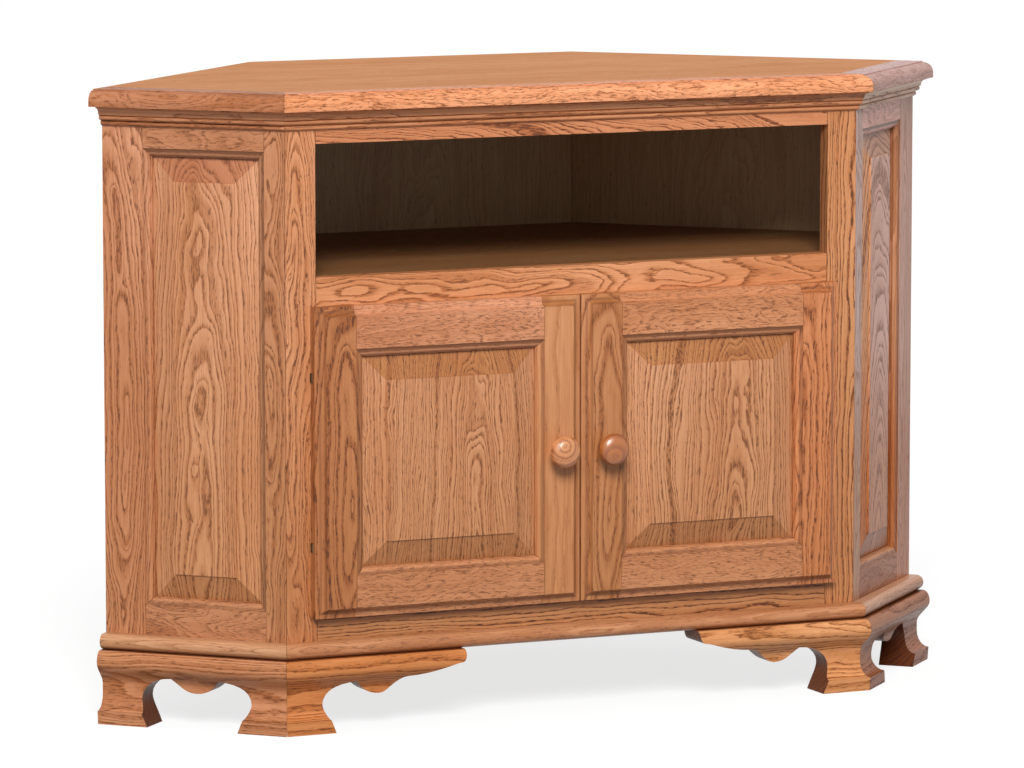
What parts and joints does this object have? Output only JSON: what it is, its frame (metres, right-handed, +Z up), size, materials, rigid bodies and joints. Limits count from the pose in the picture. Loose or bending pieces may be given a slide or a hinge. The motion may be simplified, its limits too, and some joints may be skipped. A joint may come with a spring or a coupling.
{
  "type": "corner tv cabinet",
  "caption": "Low oak corner media cabinet with an open shelf bay above raised-panel doors, on scrolled bracket feet.",
  "frame": {"origin": "middle of the whole cabinet's footprint, on the floor", "axes": "+X to the right as seen from the front, +Y towards the cut-off corner at the back, +Z up"},
  "size_m": [1.0558, 0.5106, 0.71],
  "materials": {
    "oak": "golden oak stain, semi-gloss lacquer",
    "oak_panel": "golden oak stain, semi-gloss lacquer",
    "oak_veneer": "fine speckled oak veneer, semi-gloss lacquer",
    "plywood": "oak plywood, satin lacquer",
    "bronze": "dark antique bronze",
    "plastic": "brown matt"
  },
  "bodies": {
    "case": {"top_edge_front": "oak", "top_edge_left": "oak", "top_edge_right": "oak", "cornice_front": "oak", "cornice_left": "oak", "cornice_right": "oak", "face_stile_left": "oak", "face_stile_right": "oak", "face_top_rail": "oak", "face_mid_rail": "oak", "face_base_rail": "oak", "base_moulding_front": "oak", "base_moulding_left": "oak", "base_moulding_right": "oak", "bracket_front_left": "oak", "bracket_front_right": "oak", "bracket_facet_left": "oak", "bracket_facet_right": "oak", "rear_foot": "oak", "shelf_cleat_left": "oak", "shelf_cleat_right": "oak", "top_field": "oak_veneer", "wall_panel_left": "plywood", "wall_panel_right": "plywood", "back_panel": "plywood", "media_shelf": "plywood", "bottom_deck": "plywood", "inner_shelf": "plywood", "left_facet_front_stile": "oak", "left_facet_rear_stile": "oak", "left_facet_top_rail": "oak", "left_facet_bottom_rail": "oak", "left_facet_panel": "oak_panel", "left_upper_hinge_frame_leaf": "bronze", "left_lower_hinge_frame_leaf": "bronze", "right_facet_front_stile": "oak", "right_facet_rear_stile": "oak", "right_facet_top_rail": "oak", "right_facet_bottom_rail": "oak", "right_facet_panel": "oak_panel", "right_upper_hinge_frame_leaf": "bronze", "right_lower_hinge_frame_leaf": "bronze", "door_catch_left": "plastic", "door_catch_right": "plastic"},
    "left_door": {"left_door_lock_stile": "oak", "left_door_hinge_stile": "oak", "left_door_top_rail": "oak", "left_door_bottom_rail": "oak", "left_door_knob": "oak", "left_door_panel": "oak_panel", "left_upper_hinge_door_leaf": "bronze", "left_lower_hinge_door_leaf": "bronze"},
    "right_door": {"right_door_lock_stile": "oak", "right_door_hinge_stile": "oak", "right_door_top_rail": "oak", "right_door_bottom_rail": "oak", "right_door_knob": "oak", "right_door_panel": "oak_panel", "right_upper_hinge_door_leaf": "bronze", "right_lower_hinge_door_leaf": "bronze"}
  },
  "joints": [
    {"name": "left_door_hinge", "type": "hinge", "parent": "case", "child": "left_door", "pos_m": [-0.3218, -0.21216, 0.3], "axis": [0, 0, -1], "range_deg": [0, 110]},
    {"name": "right_door_hinge", "type": "hinge", "parent": "case", "child": "right_door", "pos_m": [0.3218, -0.21216, 0.3], "axis": [0, 0, 1], "range_deg": [0, 110]}
  ]
}
